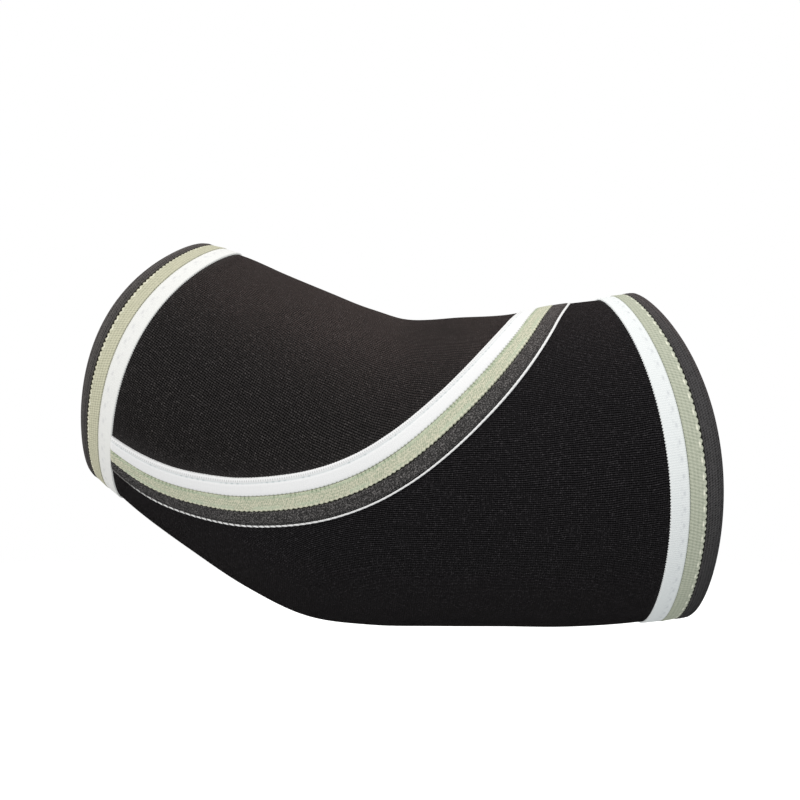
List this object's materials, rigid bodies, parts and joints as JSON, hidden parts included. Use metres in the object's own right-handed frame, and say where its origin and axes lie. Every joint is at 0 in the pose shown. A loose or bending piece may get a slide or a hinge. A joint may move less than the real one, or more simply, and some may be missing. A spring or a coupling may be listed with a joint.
{
  "type": "elbow compression sleeve",
  "caption": "Pull-on elbow support of knit-faced neoprene, bent as worn, with a curved striped seam tape and striped cuffs.",
  "frame": {"origin": "middle of the elbow, on the bend plane, where the arm sits inside the sleeve", "axes": "+X towards the upper-arm hem, +Z towards the crook of the elbow, +Y across the arm; the bend lies in the XZ plane"},
  "size_m": [0.1942, 0.098, 0.1256],
  "materials": {
    "knit_crook": "fine black knit jersey on neoprene, slightly warm",
    "knit_elbow": "fine black knit jersey on neoprene",
    "tape_white": "white ribbed elastic tape",
    "tape_sage": "sage ribbed elastic tape",
    "tape_charcoal": "charcoal ribbed elastic tape"
  },
  "bodies": {
    "root": {"crook_panel": "knit_crook", "elbow_panel": "knit_elbow", "seam_tape_white": "tape_white", "seam_tape_sage": "tape_sage", "seam_tape_charcoal": "tape_charcoal", "seam_edge_white": "tape_white", "forearm_band_white": "tape_white", "forearm_band_sage": "tape_sage", "forearm_binding_charcoal": "tape_charcoal", "upper_arm_band_white": "tape_white", "upper_arm_band_sage": "tape_sage", "upper_arm_binding_charcoal": "tape_charcoal"}
  },
  "joints": []
}
